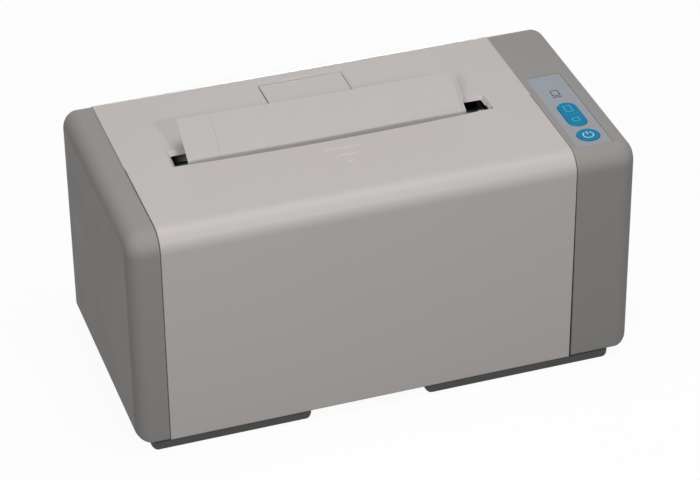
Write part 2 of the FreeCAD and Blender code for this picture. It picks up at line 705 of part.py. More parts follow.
# Mechanism plates, their ties and fixed bars
thick = s.plate_thickness
plate_front = front + s.plate_front_inset
plate_top = top - s.plate_top_gap
slope_foot = roll_z + s.roll_core_radius
slope_head = arm_pivot_y - s.arm_width
lean = math.radians(30)
half = s.spindle_radius + s.pin_play_gap
mouth = s.roll_radius * 2
tie_spots = ((plate_rear - s.tie_radius * 2, under + s.base_front_height + s.tie_radius * 2),
             (plate_rear - s.tie_radius * 2, plate_top - s.tie_radius * 2))


def mechanism_plate(x, foot_x):
    outline = slab("X", x, [
        (plate_front, base_top), (plate_rear, base_top), (plate_rear, plate_top),
        (slope_head, plate_top), (plate_front, slope_foot)])
    foot_plate = block(foot_x, (plate_front, plate_rear), (base_top, base_top + thick))
    wide = (x[0] - over, x[1] + over)
    cradle = slab("X", wide, [
        (roll_y + half * math.sin(lean), roll_z + half * math.cos(lean)),
        (roll_y + half * math.sin(lean) - mouth * math.cos(lean),
         roll_z + half * math.cos(lean) + mouth * math.sin(lean)),
        (roll_y - half * math.sin(lean) - mouth * math.cos(lean),
         roll_z - half * math.cos(lean) + mouth * math.sin(lean)),
        (roll_y - half * math.sin(lean), roll_z - half * math.cos(lean))])
    play = s.pin_play_gap
    bores = [rod("X", spot, wide, radius) for spot, radius in (
        ((roll_y, roll_z), half), ((feed_y, feed_z), s.feed_shaft_radius + play),
        ((cutter_y, cutter_z), s.cutter_shaft_radius + play),
        ((arm_pivot_y, arm_pivot_z), s.arm_pivot_radius - s.arm_gap),
        ((guide_y, guide_bar_z), s.guide_bar_radius / 2),
        (tie_spots[0], s.tie_radius / 2), (tie_spots[1], s.tie_radius / 2))]
    return cut(join(outline, foot_plate), cradle, *bores)


left_plate_x = (plate_left - thick, plate_left)
right_plate_x = (plate_right, plate_right + thick)
keep("left_mechanism_plate", mechanism_plate(left_plate_x, (plate_left - s.plate_foot_width, plate_left)))
keep("right_mechanism_plate",
     mechanism_plate(right_plate_x, (plate_right, plate_right + s.plate_foot_width)))


def axle(spot, radius, end_radius, body_span, end_span):
    """A shaft along X with a thicker middle."""
    return turned("X", spot, [
        (end_span[0], zero), (end_span[0], end_radius), (body_span[0], end_radius),
        (body_span[0], radius), (body_span[1], radius), (body_span[1], end_radius),
        (end_span[1], end_radius), (end_span[1], zero)])


plates_in = (plate_left, plate_right)
plates_out = (plate_left - thick, plate_right + thick)
for number_of, spot in enumerate(tie_spots, 1):
    keep(f"tie_bar_{number_of}", axle(spot, s.tie_radius, s.tie_radius / 2, plates_in, plates_out))
keep("web_guide_bar", axle((guide_y, guide_bar_z), s.guide_bar_radius, s.guide_bar_radius / 2,
                           plates_in, plates_out))
keep("arm_pivot_bar", axle((arm_pivot_y, arm_pivot_z), s.arm_pivot_radius,
                           s.arm_pivot_radius - s.arm_gap, plates_in, plates_out))
screw_spots = [(x_screw, y_screw)
               for x_screw in (plate_left - thick - s.screw_head_radius - s.screw_edge_gap,
                               plate_right + thick + s.screw_head_radius + s.screw_edge_gap)
               for y_screw in (plate_front + s.plate_foot_width, plate_rear - s.plate_foot_width)]
flange_top = base_top + thick
keep("plate_screws", join(*[rod("Z", spot, (flange_top, flange_top + s.screw_head_height),
                                s.screw_head_radius) for spot in screw_spots]))


# The roll of dry wipes on its spindle
roll_span = (web_left - s.roll_end_gap, web_right + s.roll_end_gap)
roll_spot = (roll_y, roll_z)
hub_in = (roll_span[0] + s.hub_width, roll_span[1] - s.hub_width)
keep("roll_spindle", turned("X", roll_spot, [
    (plates_out[0], zero), (plates_out[0], s.spindle_radius), (roll_span[0], s.spindle_radius),
    (roll_span[0], s.hub_radius), (hub_in[0], s.hub_radius), (hub_in[0], s.spindle_radius),
    (hub_in[1], s.spindle_radius), (hub_in[1], s.hub_radius), (roll_span[1], s.hub_radius),
    (roll_span[1], s.spindle_radius), (plates_out[1], s.spindle_radius), (plates_out[1], zero)]))


def sleeve(spot, outer, inner, span):
    return turned("X", spot, [(span[0], inner), (span[0], outer), (span[1], outer), (span[1], inner)])


keep("roll_core", sleeve(roll_spot, s.roll_core_radius, s.roll_core_radius - s.core_wall, roll_span))
keep("wipe_roll", sleeve(roll_spot, s.roll_radius, s.roll_core_radius, roll_span))


# Gears
PRESSURE = math.radians(25)


def gear(teeth, module, first, bore, spot, span):
    """A spur gear along X whose first tooth points at the angle first."""
    pitch = teeth * module / 2
    base = pitch * math.cos(PRESSURE)
    tip = pitch + module
    root = pitch - module * 1.25
    at_pitch = math.pi / (2 * teeth) - s.gear_backlash_gap.value / (2 * pitch)
    involute = math.tan(PRESSURE) - PRESSURE

    def half_angle(radius):
        turn = math.acos(min(1, base / radius))
        return at_pitch + involute - (math.tan(turn) - turn)

    start = max(base, root)
    radii = [root] + [start + (tip - start) * share for share in (0, 0.35, 0.7, 1)]
    if start == root:
        radii = radii[1:]
    flank = [(radius, half_angle(radius)) for radius in radii]
    points = []
    for index in range(teeth):
        centre = first + 2 * math.pi * index / teeth
        points += [(radius, centre - turn) for radius, turn in flank]
        points += [(radius, centre + turn) for radius, turn in reversed(flank)]
    low, high = span[0].value, span[1].value
    y, z = spot[0].value, spot[1].value
    corners = [Vector(low, y + radius * math.cos(turn), z + radius * math.sin(turn))
               for radius, turn in points]
    face = Part.Face(Part.makePolygon(corners + corners[:1]))
    solid = face.extrude(Vector(high - low, 0, 0))
    if bore:
        solid = solid.cut(Part.makeCylinder(bore.value, high - low, Vector(low, y, z), Vector(1, 0, 0)))
    return solid


feed_gear_x = (plate_right + thick + s.gear_gap, plate_right + thick + s.gear_gap + s.gear_width)
cutter_gear_x = (plate_left - thick - s.gear_gap - s.gear_width, plate_left - thick - s.gear_gap)
teeth_feed = int(s.feed_gear_teeth.value)
teeth_cutter = int(s.cutter_gear_teeth.value)
teeth_pinion = int(s.pinion_teeth.value)
module = s.gear_module_size.value


def pinion_start(angle):
    """A pinion shows a gap to the gear that it meets at this angle."""
    return math.radians(angle + 180 + 180 / teeth_pinion)


# Feed roller, pinch roller and their drive
roller_inset = s.arm_gap + s.arm_thickness + s.roller_end_gap
roller_span = (plate_left + roller_inset, plate_right - roller_inset)
feed_spot = (feed_y, feed_z)
keep("feed_roller", sleeve(feed_spot, s.feed_radius, s.feed_shaft_radius, roller_span))
keep("feed_shaft", rod("X", feed_spot, (plates_out[0] - s.gear_gap, feed_gear_x[1] + s.gear_gap),
                       s.feed_shaft_radius))
keep("feed_gear", shape("FeedGear", gear(teeth_feed, module, math.radians(FEED_MESH),
                                         s.feed_shaft_radius, feed_spot, feed_gear_x)))
motor_face = right_frame_x[1]
motor_bore = s.motor_shaft_radius + s.pin_play_gap
feed_drive = (feed_pinion_y, feed_pinion_z)
boss_face = motor_face - s.motor_boss_height
keep("feed_motor", cut(
    join(rod("X", feed_drive, (motor_face, motor_face + s.feed_motor_length), s.feed_motor_radius),
         rod("X", feed_drive, (boss_face, motor_face), s.motor_boss_radius)),
    rod("X", feed_drive, (boss_face - over, motor_face + s.motor_boss_radius), motor_bore)))


def pinion(label, angle, spot, span, shaft_span):
    """A pinion fixed on its motor's shaft."""
    solid = gear(teeth_pinion, module, pinion_start(angle), None, spot, span)
    start, length = shaft_span[0].value, shaft_span[1].value - shaft_span[0].value
    shaft = Part.makeCylinder(s.motor_shaft_radius.value, length,
                              Vector(start, spot[0].value, spot[1].value), Vector(1, 0, 0))
    keep(label, shape("Pinion", solid.fuse(shaft).removeSplitter()))


pinion("feed_pinion", FEED_MESH, feed_drive, feed_gear_x,
       (feed_gear_x[0], motor_face + s.motor_boss_radius - s.part_gap))

pinch_spot = (pinch_y, feed_z)
arm_x = ((plate_left + s.arm_gap, plate_left + s.arm_gap + s.arm_thickness),
         (plate_right - s.arm_gap - s.arm_thickness, plate_right - s.arm_gap))
arm_half = s.arm_width / 2
pivot_spot = (arm_pivot_y, arm_pivot_z)
arms = []
for x in arm_x:
    arms.append(rod("X", pivot_spot, x, arm_half + s.arm_gap))
    arms.append(rod("X", pinch_spot, x, arm_half + s.arm_gap))
    arms.append(slab("X", x, [
        (arm_pivot_y, arm_pivot_z - arm_half), (pinch_y, feed_z - arm_half),
        (pinch_y, feed_z + arm_half), (arm_pivot_y, arm_pivot_z + arm_half)]))
arm_reach = (arm_x[0][0] - over, arm_x[1][1] + over)
arm_tie = rod("X", ((arm_pivot_y + pinch_y) / 2, (arm_pivot_z + feed_z) / 2),
              (arm_x[0][0], arm_x[1][1]), s.arm_thickness)
keep("pinch_arms", cut(join(*arms, arm_tie),
                       rod("X", pivot_spot, arm_reach, s.arm_pivot_radius + s.pin_play_gap),
                       rod("X", pinch_spot, arm_reach, s.pinch_shaft_radius + s.pin_play_gap)))
keep("pinch_roller", sleeve(pinch_spot, s.pinch_radius, s.pinch_shaft_radius, roller_span))
keep("pinch_shaft", rod("X", pinch_spot, (arm_x[0][0], arm_x[1][1]), s.pinch_shaft_radius))


# The rotary cutter, its fixed blade and its drive
SCREW_SHARES = (0.05, 0.35, 0.65, 0.95)
cutter_spot = (cutter_y, cutter_z)
blade_half = s.blade_thickness / 2
blade_tip = cutter_y - s.cutter_tip_radius
moving_blade = block(roller_span, (blade_tip, cutter_y - s.cutter_drum_radius / 2),
                     (cutter_z - blade_half, cutter_z + blade_half))
drum_span = (roller_span[0] - s.gear_gap, roller_span[1] + s.gear_gap)
keep("cutter_blade", moving_blade)
keep("cutter_drum", cut(axle(cutter_spot, s.cutter_drum_radius, s.cutter_shaft_radius, drum_span,
                             (cutter_gear_x[0] - s.gear_gap, plates_out[1] + s.gear_gap)), moving_blade))
keep("cutter_gear", shape("CutterGear", gear(teeth_cutter, module, math.radians(CUTTER_MESH),
                                             s.cutter_shaft_radius, cutter_spot, cutter_gear_x)))
cutter_drive = (cutter_pinion_y, cutter_pinion_z)
small_face = frame_left + s.cutter_motor_length
keep("cutter_motor", cut(rod("X", cutter_drive, (frame_left, small_face), s.cutter_motor_radius),
                         rod("X", cutter_drive, (small_face - s.motor_boss_radius, small_face + over),
                             motor_bore)))
pinion("cutter_pinion", CUTTER_MESH, cutter_drive, cutter_gear_x,
       (small_face - s.motor_boss_radius + s.part_gap, cutter_gear_x[1]))
blade_front = web_y + s.blade_overlap_depth + s.blade_gap
blade_rear = blade_front + s.blade_depth
blade_top = cutter_z + blade_half
keep("fixed_blade", block(plates_in, (blade_front, blade_rear), (cutter_z - blade_half, blade_top)))
beam_y = (blade_front + s.beam_inset, blade_rear + s.beam_inset / 2)
keep("blade_beam", block(plates_in, beam_y, (blade_top, blade_top + s.beam_height)))
blade_low = cutter_z - blade_half
keep("blade_screws", join(*[
    rod("Z", (roller_span[0] + (roller_span[1] - roller_span[0]) * share, (beam_y[0] + blade_rear) / 2),
        (blade_low - s.screw_head_height, blade_low), s.screw_head_radius)
    for share in SCREW_SHARES]))

# The exit guide above the cutter
guide_half = s.guide_gap + s.guide_thickness
guide_top = top - s.guide_top_gap
guide_low_z = cutter_z + s.guide_low_height
guide_z = (guide_low_z, guide_top)
front_guide = block(plates_in, (web_y - guide_half, web_y - s.guide_gap), guide_z)
rear_guide = block(plates_in, (web_y + s.guide_gap, web_y + guide_half), guide_z)
bridges = [block(x, (web_y - guide_half, web_y + guide_half), guide_z)
           for x in ((plate_left, web_left - s.guide_gap * 2),
                     (web_right + s.guide_gap * 2, plate_right))]
keep("exit_guide", join(front_guide, rear_guide, *bridges))


# The web of paper, the sheet that stands in the slot
def ribbon(label, path, span):
    """A thin sheet along a path of (y, z) places, all plain numbers."""
    half_thick = s.web_thickness.value / 2
    sides = ([], [])
    for index, (y, z) in enumerate(path):
        before = path[max(index - 1, 0)]
        after = path[min(index + 1, len(path) - 1)]
        length = math.dist(before, after)
        step_y, step_z = (after[0] - before[0]) / length, (after[1] - before[1]) / length
        for side, row_points in zip((1, -1), sides):
            row_points.append(Vector(span[0].value, y - side * half_thick * step_z,
                                     z + side * half_thick * step_y))
    outline = sides[0] + sides[1][::-1]
    face = Part.Face(Part.makePolygon(outline + outline[:1]))
    keep(label, shape("Ribbon", face.extrude(Vector(span[1].value - span[0].value, 0, 0))))


def crossing(near_spot, near_radius, far_spot, far_radius):
    """Where a straight run leaves the rear of one circle and meets the front of the next."""
    gap = math.dist(near_spot, far_spot)
    ahead = [(b - a) / gap for a, b in zip(near_spot, far_spot)]
    turn = math.asin((near_radius + far_radius) / gap)
    normal = (math.cos(turn) * ahead[1] + math.sin(turn) * ahead[0],
              -math.cos(turn) * ahead[0] + math.sin(turn) * ahead[1])
    return ([a + near_radius * n for a, n in zip(near_spot, normal)],
            [b - far_radius * n for b, n in zip(far_spot, normal)])


BEND_SHARES = (0, 0.25, 0.5, 0.75, 1)
web_span = (web_left, web_right)
off = s.web_thickness.value / 2 + s.web_gap.value
leave, meet = crossing((roll_y.value, roll_z.value), s.roll_radius.value + off,
                       (guide_y.value, guide_bar_z.value), s.guide_bar_radius.value + off)
web_end = cutter_z.value - s.cutter_tip_radius.value - off
ribbon("wipe_web", [leave, meet, (web_y.value, guide_bar_z.value),
                    (web_y.value, web_end)], web_span)
bend = s.sheet_bend_radius.value
upright = 90
final = math.radians(upright - s.sheet_lean_angle.value)
bend_z = (top + s.sheet_bend_height).value
sheet_path = [(web_y.value, (guide_low_z + s.sheet_low_inset).value)]
for share in BEND_SHARES:
    turn = final * share
    sheet_path.append((web_y.value + bend * (1 - math.cos(turn)), bend_z + bend * math.sin(turn)))
last_y, last_z = sheet_path[-1]
reach = s.sheet_reach_length.value
sheet_path.append((last_y + reach * math.sin(final), last_z + reach * math.cos(final)))
ribbon("wipe_sheet", sheet_path, web_span)


# Water tank, pump, hoses and wetting bar
tank_rear = tray_rear - s.base_wall - s.tank_rear_gap
tank_front = plate_rear + s.tank_front_gap
tank_left = seam_left + s.tank_left_inset
pump_x = seam_right - s.pump_right_inset
pump_y = tank_front + s.tank_depth / 2
head_half = s.pump_head_width / 2
head_left = pump_x - head_half
tank_right = head_left - s.tank_pump_gap
bar_y = web_y + s.bar_web_gap
bar_z = cutter_z - s.bar_depth
tank_top = top - s.tank_top_gap
neck_top = lid_under - s.seal_thickness - s.pin_play_gap
tank_inside = s.tank_wall
port_z = base_top + s.pump_head_height / 2
tank_body = rounded(block((tank_left, tank_right), (tank_front, tank_rear), (base_top, tank_top)),
                    lambda spot, edge: s.foot_corner_radius if edge.BoundBox.ZLength > number(over) else None)
tank_hollow = block((tank_left + tank_inside, tank_right - tank_inside),
                    (tank_front + tank_inside, tank_rear - tank_inside),
                    (base_top + tank_inside, tank_top - tank_inside))
neck = rod("Z", (neck_x, neck_y), (tank_top - tank_inside, neck_top), s.neck_radius)
neck_bore = rod("Z", (neck_x, neck_y), (tank_top - tank_inside * 2, neck_top + over),
                s.neck_radius - s.neck_wall)
hose_gap = s.tank_pump_gap / 2
tank_port = rod("X", (pump_y, port_z), (tank_right - tank_inside, tank_right + hose_gap),
                s.hose_bore_radius)
tank_port_bore = rod("X", (pump_y, port_z), (tank_right - tank_inside * 2, tank_right + over * 2),
                     s.port_bore_radius)
keep("water_tank", cut(join(cut(tank_body, tank_hollow), neck, tank_port), neck_bore, tank_port_bore))
outlet_x = pump_x + head_half - s.hose_radius
outlet_y = pump_y - head_half + s.hose_radius
head_top = base_top + s.pump_head_height
head = block((head_left, pump_x + head_half), (pump_y - head_half, pump_y + head_half),
             (base_top, head_top))
keep("water_pump", join(
    head, rod("Z", (pump_x, pump_y), (head_top, head_top + s.pump_motor_height), s.pump_motor_radius),
    rod("X", (pump_y, port_z), (head_left - hose_gap + s.part_gap, head_left), s.hose_bore_radius),
    rod("Z", (outlet_x, outlet_y), (head_top, head_top + s.pump_port_length), s.hose_bore_radius)))
keep("suction_hose", sleeve((pump_y, port_z), s.hose_radius, s.hose_bore_radius,
                            (tank_right, head_left)))
bar_left, bar_right = plates_in
bar = rod("X", (bar_y, bar_z), (bar_left, bar_right), s.bar_radius)
stub_end = bar_y + s.bar_radius + s.pump_port_length
stub = rod("Y", (outlet_x, bar_z), (bar_y, stub_end), s.hose_bore_radius)
count = int((s.web_width.value - s.nozzle_spacing.value) // s.nozzle_spacing.value) + 1
nozzles = [rod("Y", (web_left + s.nozzle_spacing * (index + 0.75), bar_z),
               (bar_y - s.bar_radius - s.nozzle_length, bar_y), s.nozzle_radius)
           for index in range(count)]
bore_span = (bar_left + s.bar_bore_radius, bar_right - s.bar_bore_radius)
keep("wetting_bar", cut(join(bar, stub, *nozzles),
                        rod("X", (bar_y, bar_z), bore_span, s.bar_bore_radius)))


def hose(label, x, corner, first, last):
    """A hose in a plane across the case: along Y, round one bend, then down."""
    y_c, z_c = corner
    bend_r = s.hose_bend_radius.value
    start = Vector(x, first, z_c)
    into = Vector(x, y_c - bend_r, z_c)
    out = Vector(x, y_c, z_c - bend_r)
    end = Vector(x, y_c, last)
    diagonal = bend_r * (1 - math.sqrt(0.5))
    arc = Part.Arc(into, Vector(x, y_c - diagonal, z_c - diagonal), out)
    path = Part.Wire([Part.LineSegment(start, into).toShape(), arc.toShape(),
                      Part.LineSegment(out, end).toShape()])
    shells = [path.makePipeShell([Part.Wire(Part.makeCircle(radius, start, Vector(0, 1, 0)))], True, False)
              for radius in (s.hose_radius.value, s.hose_bore_radius.value)]
    keep(label, shape("Hose", shells[0].cut(shells[1])))


hose("supply_hose", outlet_x.value, (outlet_y.value, bar_z.value),
     (bar_y + s.bar_radius).value, head_top.value)


# Controls, boards and inlet
panel_plate = rounded(block((panel_left, panel_right), (panel_front, panel_rear), panel_z),
                      lambda spot, edge: s.panel_corner_radius
                      if near(edge.BoundBox.ZLength, s.panel_thickness) else None)
keep("control_panel", cut(panel_plate, pill(through, s.key_gap), disc(through, s.key_gap)))
ceiling = cap_top - wall
flange_top_z = ceiling - s.part_gap
flange_z = (flange_top_z - s.key_flange_height, flange_top_z)
key_z = (flange_z[0], cap_top + s.key_stand_height)


def key_rim(spot, edge):
    return s.key_edge_radius if near(spot.z, key_z[1]) and edge.BoundBox.ZLength < s.key_gap.value else None


keep("length_key", join(rounded(pill(key_z, zero), key_rim), pill(flange_z, s.key_flange_width)))
keep("power_key", join(rounded(disc(key_z, zero), key_rim), disc(flange_z, s.key_flange_width)))
stem_top = flange_z[0] - s.key_travel_height - s.part_gap
board_top = stem_top - s.stem_height - s.switch_height
key_board_z = (board_top - s.key_board_thickness, board_top)
keep("key_board", block((panel_left, panel_right), (panel_front, panel_rear), key_board_z))
switches = []
for y_switch in (key_y, power_y):
    half_switch = s.switch_width / 2
    switches.append(join(
        block((panel_middle - half_switch, panel_middle + half_switch),
              (y_switch - half_switch, y_switch + half_switch), (board_top, board_top + s.switch_height)),
        rod("Z", (panel_middle, y_switch), (board_top, stem_top), s.stem_radius)))
keep("key_switches", join(*switches))
keep("indicator_lamp", rod("Z", (panel_middle, lens_y), (board_top, ceiling), s.lens_radius))

board_x = (motor_face + s.board_stand_height, motor_face + s.board_stand_height + s.board_thickness)
board_y = (-(s.board_length / 2), s.board_length / 2)
board_z = (under + s.board_floor_gap, under + s.board_floor_gap + s.board_height)
stands = [rod("X", (y_stand, z_stand), (motor_face, board_x[0]), s.post_radius)
          for y_stand in (board_y[0] + over, board_y[1] - over)
          for z_stand in (board_z[0] + over, board_z[1] - over)]
keep("board_stands", join(*stands))
# Each block on the board: its height, then its place along and up the board
CHIP_SHARES = ((0.2, 0.15, 0.3), (0.6, 0.5, 0.2), (0.2, 0.6, 0.6), (0.8, 0.8, 0.15))
parts_on_board = []
for tall_share, along_share, up_share in CHIP_SHARES:
    chip_y = board_y[0] + s.board_length * along_share
    chip_z = board_z[0] + s.board_height * up_share
    parts_on_board.append(block((board_x[1], board_x[1] + s.chip_width * tall_share),
                                (chip_y, chip_y + s.chip_width), (chip_z, chip_z + s.chip_width)))
keep("control_board", join(block(board_x, board_y, board_z), *parts_on_board))
inlet_y = (rear - s.part_gap - s.inlet_depth, rear - s.part_gap)
inlet_centre = (inlet_x, under + s.inlet_height)
socket = (inlet_y[0] + wall, rear + over)
keep("power_inlet", join(
    cut(block((inlet_x - inlet_half, inlet_x + inlet_half), inlet_y,
              (under + s.inlet_height - inlet_half, under + s.inlet_height + inlet_half)),
        rod("Y", inlet_centre, socket, s.inlet_bore_radius)),
    rod("Y", inlet_centre, (inlet_y[0] + wall / 2, rear - s.part_gap * 4), s.inlet_pin_radius)))

# The magnetic catch of the front cover
magnet_z = (top - wall - s.magnet_height, top - wall)
catch_spans = [(cover_left + s.cover_wall + s.hinge_end_gap,
                cover_left + s.cover_wall + s.hinge_end_gap + s.magnet_width),
               (cover_right - s.cover_wall - s.hinge_end_gap - s.magnet_width,
                cover_right - s.cover_wall - s.hinge_end_gap)]
keep("catch_magnets", join(*[block(span, (panel_start, panel_start + s.magnet_depth), magnet_z)
                             for span in catch_spans]))
cover_ceiling = top - s.cover_wall
keep("catch_plates", join(*[block(span, (seam - s.magnet_depth / 2, seam),
                                  (cover_ceiling - s.magnet_height, cover_ceiling))
                            for span in catch_spans]))


# Write every finished sub-part
def write_parts():
    doc.recompute()
    for thing in doc.Objects:
        if "Invalid" in thing.State or "Error" in thing.State:
            raise RuntimeError(f"{thing.Label} ({thing.Name}) could not be made: {thing.State}")
    os.makedirs("parts", exist_ok=True)
    for thing in made:
        if thing.Shape.isNull() or not thing.Shape.isValid():
            raise RuntimeError(f"{thing.Label} is not a valid shape")
    for thing in made:
        thing.Shape.exportStep(f"parts/{thing.Label}.step")
        print(thing.Label, len(thing.Shape.Solids), round(thing.Shape.Volume / 1000, 2), "cm3")


write_parts()
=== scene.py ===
import json
import math

import bmesh
import bpy
from mathutils import Matrix, Vector


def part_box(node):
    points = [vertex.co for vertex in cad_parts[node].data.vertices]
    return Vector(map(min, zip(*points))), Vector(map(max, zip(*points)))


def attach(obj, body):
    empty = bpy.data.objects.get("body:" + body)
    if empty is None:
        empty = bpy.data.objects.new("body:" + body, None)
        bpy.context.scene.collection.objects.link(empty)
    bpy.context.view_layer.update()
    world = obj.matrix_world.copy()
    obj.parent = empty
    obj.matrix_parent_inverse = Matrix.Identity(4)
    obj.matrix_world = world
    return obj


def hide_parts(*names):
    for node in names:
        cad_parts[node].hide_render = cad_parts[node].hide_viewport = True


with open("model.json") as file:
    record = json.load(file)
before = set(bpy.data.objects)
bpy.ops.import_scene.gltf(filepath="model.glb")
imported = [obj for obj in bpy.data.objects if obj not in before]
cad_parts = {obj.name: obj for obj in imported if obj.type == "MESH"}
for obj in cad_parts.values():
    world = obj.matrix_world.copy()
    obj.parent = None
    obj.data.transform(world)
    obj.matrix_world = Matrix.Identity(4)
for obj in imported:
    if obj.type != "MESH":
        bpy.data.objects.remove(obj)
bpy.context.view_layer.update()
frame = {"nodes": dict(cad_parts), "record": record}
NODES = frame["nodes"]
MM = 0.001
SLOTS = {row["node"]: row["material_slot"] for row in frame["record"]["subparts"]}


# Shader sums
class Signal:
    """A socket of a node tree that takes part in Python sums; each sum adds its Math node."""

    def __init__(self, tree, socket=None):
        self.tree = tree
        self.socket = socket

    def node(self, kind, settings=None, values=None, out=0):
        """Add any node: its settings are set first, then its sockets' values or links."""
        made = self.tree.nodes.new(kind)
        for name, value in (settings or {}).items():
            setattr(made, name, value)
        for name, value in (values or {}).items():
            if isinstance(value, Signal):
                self.tree.links.new(value.socket, made.inputs[name])
            else:
                made.inputs[name].default_value = value
        return Signal(self.tree, made.outputs[out])

    def _sum(self, operation, first, second):
        return self.node("ShaderNodeMath", {"operation": operation}, {0: first, 1: second})

    def __add__(self, other):
        return self._sum("ADD", self, other)

    __radd__ = __add__

    def __sub__(self, other):
        return self._sum("SUBTRACT", self, other)

    def __rsub__(self, other):
        return self._sum("SUBTRACT", other, self)

    def __mul__(self, other):
        return self._sum("MULTIPLY", self, other)

    __rmul__ = __mul__

    def __truediv__(self, other):
        return self._sum("DIVIDE", self, other)

    def above(self, edge):
        """1 where the signal is over the edge, else 0."""
        return self._sum("GREATER_THAN", self, edge)

    def clear(self, low, high):
        """The signal held between two values."""
        return self._sum("MINIMUM", self._sum("MAXIMUM", self, low), high)


def tinted(colour, share):
    """A lighter or darker form of a colour, with its alpha."""
    return tuple(min(1.0, part * share) for part in colour) + (1.0,)


class Finish:
    """A material under way: its shader, its place signal and what varies over the surface."""

    def __init__(self, name, roughness=0.5, **constants):
        self.material = bpy.data.materials.new(name)
        self.material.use_nodes = True
        tree = self.material.node_tree
        self.shader = tree.nodes["Principled BSDF"]
        self.shader.inputs["Roughness"].default_value = roughness
        for label, value in constants.items():
            self.shader.inputs[label.replace("_", " ").title().replace("Ior", "IOR")].default_value = value
        self.start = Signal(tree)
        self.place = self.start.node("ShaderNodeTexCoord", out=3)

    def noise(self, per_metre, detail=2.0, stretch=None):
        """Soft noise from 0 to 1, so many features to the metre, stretched along the axes if asked."""
        place = self.place
        if stretch:
            place = self.start.node("ShaderNodeMapping", {"vector_type": "POINT"},
                                    {"Vector": place, "Scale": stretch})
        return self.start.node("ShaderNodeTexNoise", None, {
            "Vector": place, "Scale": per_metre, "Detail": detail})

    def blend(self, share, first, second):
        """A colour between two colours."""
        return self.start.node("ShaderNodeMix", {"data_type": "RGBA"}, {0: share, 6: first, 7: second}, out=2)

    def axis(self, index):
        """The place along one axis, in metres."""
        return self.start.node("ShaderNodeSeparateXYZ", None, {"Vector": self.place}, out=index)

    def feed(self, label, signal):
        self.start.tree.links.new(signal.socket, self.shader.inputs[label])

    def bump(self, height, metres, strength=1.0):
        made = self.start.node("ShaderNodeBump", None, {
            "Height": height, "Distance": metres, "Strength": strength})
        self.feed("Normal", made)


# Finishes
def moulded(name, colour, roughness=0.42, grain=0.00003, mottle=0.03, shine=0.2):
    """Satin moulded plastic: a spark-eroded grain, faint mottling and a few smoother patches."""
    made = Finish(name, roughness, specular_ior_level=shine)
    clouds = made.noise(9, 3)
    fine = made.noise(1500, 2)
    share = clouds * 0.8 + fine * 0.2
    made.feed("Base Color", made.blend(share, tinted(colour, 1 - mottle), tinted(colour, 1 + mottle)))
    made.feed("Roughness", (made.noise(30, 2) - 0.5) * 0.12 + fine * 0.06 + (roughness - 0.03))
    made.bump(made.noise(2600, 1), grain, 0.35)
    return made.material


def white_plastic():
    return moulded("white_plastic", (0.533, 0.503, 0.486), 0.38, 0.00002, 0.012, 0.16)


def grey_plastic():
    return moulded("grey_plastic", (0.308, 0.296, 0.286), 0.45, 0.00003, 0.02, 0.05)


def dark_plastic():
    return moulded("dark_plastic", (0.096, 0.096, 0.095), 0.5, 0.00004, 0.05)


def frame_plastic():
    return moulded("frame_plastic", (0.035, 0.035, 0.038), 0.5, 0.00004, 0.08)


def gear_white():
    return moulded("gear_white", (0.72, 0.71, 0.66), 0.35, 0.00001, 0.02)


def tank_plastic():
    made = Finish("tank_plastic", 0.3, specular_ior_level=0.5, subsurface_weight=0.3, subsurface_scale=0.004)
    clouds = made.noise(14, 3)
    made.feed("Base Color", made.blend(clouds, (0.58, 0.62, 0.66, 1), (0.66, 0.69, 0.72, 1)))
    made.bump(made.noise(220, 2), 0.0001, 0.2)
    return made.material


def panel_film():
    """Printed film, cooler towards the rear, with a fine tooth and a clear top layer."""
    made = Finish("panel_film", 0.34, specular_ior_level=0.2)
    front, back = -0.072, 0.015
    share = ((made.axis(1) - front) / (back - front)).clear(0.0, 1.0)
    made.feed("Base Color", made.blend(share, (0.312, 0.314, 0.340, 1), (0.300, 0.331, 0.370, 1)))
    made.feed("Roughness", made.noise(600, 2) * 0.1 + 0.29)
    made.bump(made.noise(3000, 1), 0.00001, 0.3)
    return made.material


def key_blue():
    made = Finish("key_blue", 0.32, specular_ior_level=0.04)
    clouds = made.noise(120, 2)
    made.feed("Base Color", made.blend(clouds, (0.006, 0.190, 0.355, 1), (0.010, 0.235, 0.415, 1)))
    made.feed("Roughness", made.noise(500, 2) * 0.1 + 0.27)
    made.bump(made.noise(2500, 1), 0.00001, 0.3)
    return made.material


def printed(name, colour):
    made = Finish(name, 0.45, specular_ior_level=0.3)
    made.feed("Base Color", made.blend(made.noise(900, 2), tinted(colour, 0.93), tinted(colour, 1.07)))
    return made.material


def black_rubber():
    made = Finish("black_rubber", 0.7, specular_ior_level=0.3)
    clouds = made.noise(300, 3)
    made.feed("Base Color", made.blend(clouds, (0.018, 0.018, 0.019, 1), (0.035, 0.034, 0.033, 1)))
    made.bump(made.noise(1400, 3), 0.00008, 0.4)
    return made.material


def clear_hose():
    made = Finish("clear_hose", 0.25, specular_ior_level=0.5, transmission_weight=0.5)
    made.feed("Base Color", made.blend(made.noise(60, 2), (0.62, 0.65, 0.66, 1), (0.74, 0.76, 0.77, 1)))
    return made.material


def turned_metal(name, colour, roughness, along):
    """Metal with fine marks running round or along it."""
    made = Finish(name, roughness, metallic=1.0)
    marks = made.noise(900, 3, stretch=along)
    made.feed("Base Color", made.blend(marks, tinted(colour, 0.86), tinted(colour, 1.05)))
    made.feed("Roughness", marks * 0.16 + (roughness - 0.08))
    made.bump(marks, 0.00002, 0.3)
    return made.material


def steel():
    return turned_metal("steel", (0.52, 0.53, 0.54), 0.34, (6.0, 0.3, 0.3))


def motor_can():
    return turned_metal("motor_can", (0.42, 0.43, 0.44), 0.4, (0.2, 4.0, 4.0))


def brass_gear():
    return turned_metal("brass_gear", (0.66, 0.46, 0.18), 0.32, (5.0, 1.0, 1.0))


